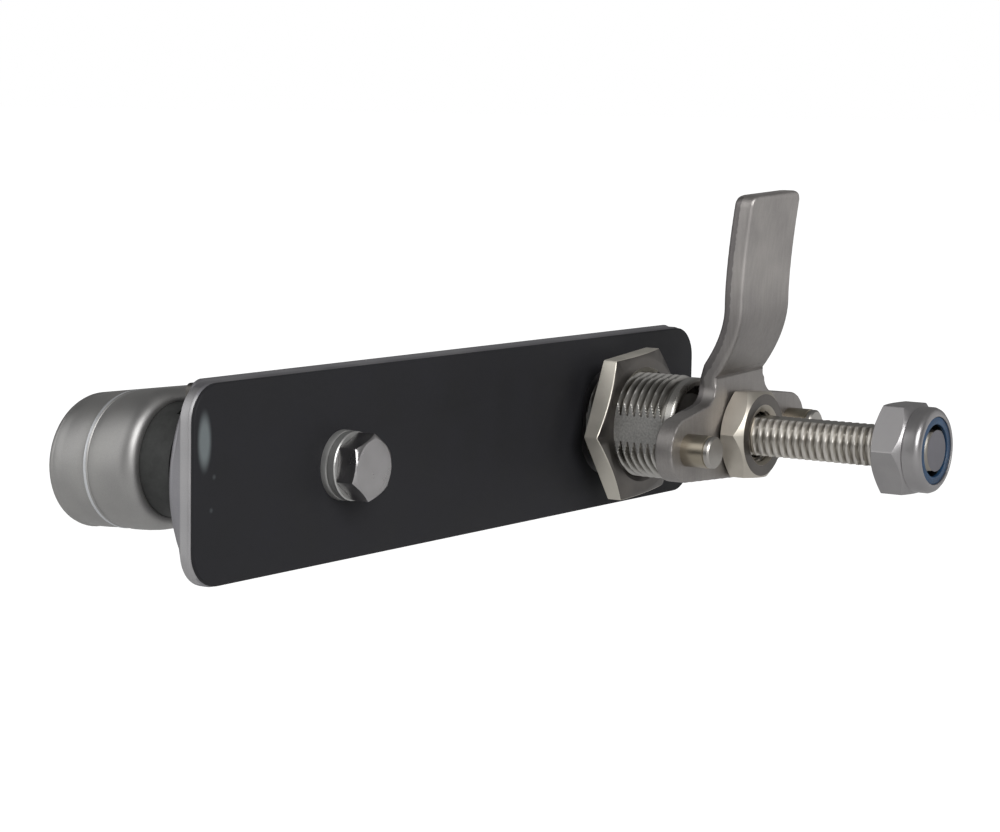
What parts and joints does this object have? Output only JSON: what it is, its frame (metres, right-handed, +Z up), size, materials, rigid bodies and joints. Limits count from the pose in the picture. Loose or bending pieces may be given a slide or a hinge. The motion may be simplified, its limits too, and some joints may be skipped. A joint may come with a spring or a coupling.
{
  "type": "swing handle lock",
  "caption": "Lift-and-turn swing handle lock with gasketed base plate, threaded boss, sliding draw rod, cranked cam with rod pins, and a key lock in the handle.",
  "frame": {"origin": "spindle axis where it crosses the rear face of the gasket, which lies on the outside of the door", "axes": "+X along the plate towards its short end, +Y out of the door towards the handle, +Z up along the cam tongue"},
  "size_m": [0.1568, 0.102, 0.0622],
  "materials": {
    "cast_steel": "blasted investment-cast stainless steel",
    "turned_steel": "machined stainless steel",
    "spring_steel": "blackened spring steel",
    "rubber_seal": "matte moulded rubber",
    "black_coat": "matte black coating",
    "acetal": "natural acetal",
    "blue_nylon": "blue nylon",
    "lock_brass": "machined brass"
  },
  "bodies": {
    "base": {"base_plate": "cast_steel", "gasket": "rubber_seal", "boss_nut": "turned_steel", "mounting_bolt": "turned_steel", "flat_washer": "turned_steel", "spring_washer": "turned_steel", "seal_ring": "rubber_seal", "thrust_washer": "acetal"},
    "spindle": {"spindle": "turned_steel", "retaining_ring": "spring_steel"},
    "draw_rod": {"draw_rod": "turned_steel", "cam": "cast_steel", "rod_pins": "turned_steel", "cam_nut": "turned_steel", "lock_nut": "turned_steel", "nylon_insert": "blue_nylon"},
    "handle": {"handle_lever": "cast_steel", "pivot_pin": "turned_steel", "lock_barrel": "black_coat", "barrel_screw": "spring_steel", "cover_rivet": "turned_steel"},
    "key_plug": {"key_plug": "lock_brass", "lock_wafers": "lock_brass", "lock_tongue": "turned_steel", "tongue_screw": "spring_steel"},
    "dust_cover": {"dust_cover": "cast_steel"}
  },
  "joints": [
    {"name": "handle_swing", "type": "hinge", "parent": "base", "child": "spindle", "pos_m": [0, 0, 0], "axis": [0, -1, 0], "range_deg": [0, 90]},
    {"name": "rod_draw", "type": "slide", "parent": "spindle", "child": "draw_rod", "axis": [0, -1, 0], "range_m": [0, 0.006]},
    {"name": "handle_lift", "type": "hinge", "parent": "draw_rod", "child": "handle", "pos_m": [0, 0.022, 0], "axis": [-0.0227, 0, -0.9997], "range_deg": [0, 40]},
    {"name": "key_turn", "type": "hinge", "parent": "handle", "child": "key_plug", "pos_m": [-0.11247, 0.02, 0.00255], "axis": [0, 1, 0], "range_deg": [0, 90]},
    {"name": "cover_turn", "type": "hinge", "parent": "handle", "child": "dust_cover", "pos_m": [-0.10047, 0.03, 0.00228], "axis": [0, 1, 0], "range_deg": [0, 120]}
  ],
  "couplings": [
    {"joint": "rod_draw", "follows": "handle_lift", "m_per_rad": 0.008594}
  ]
}
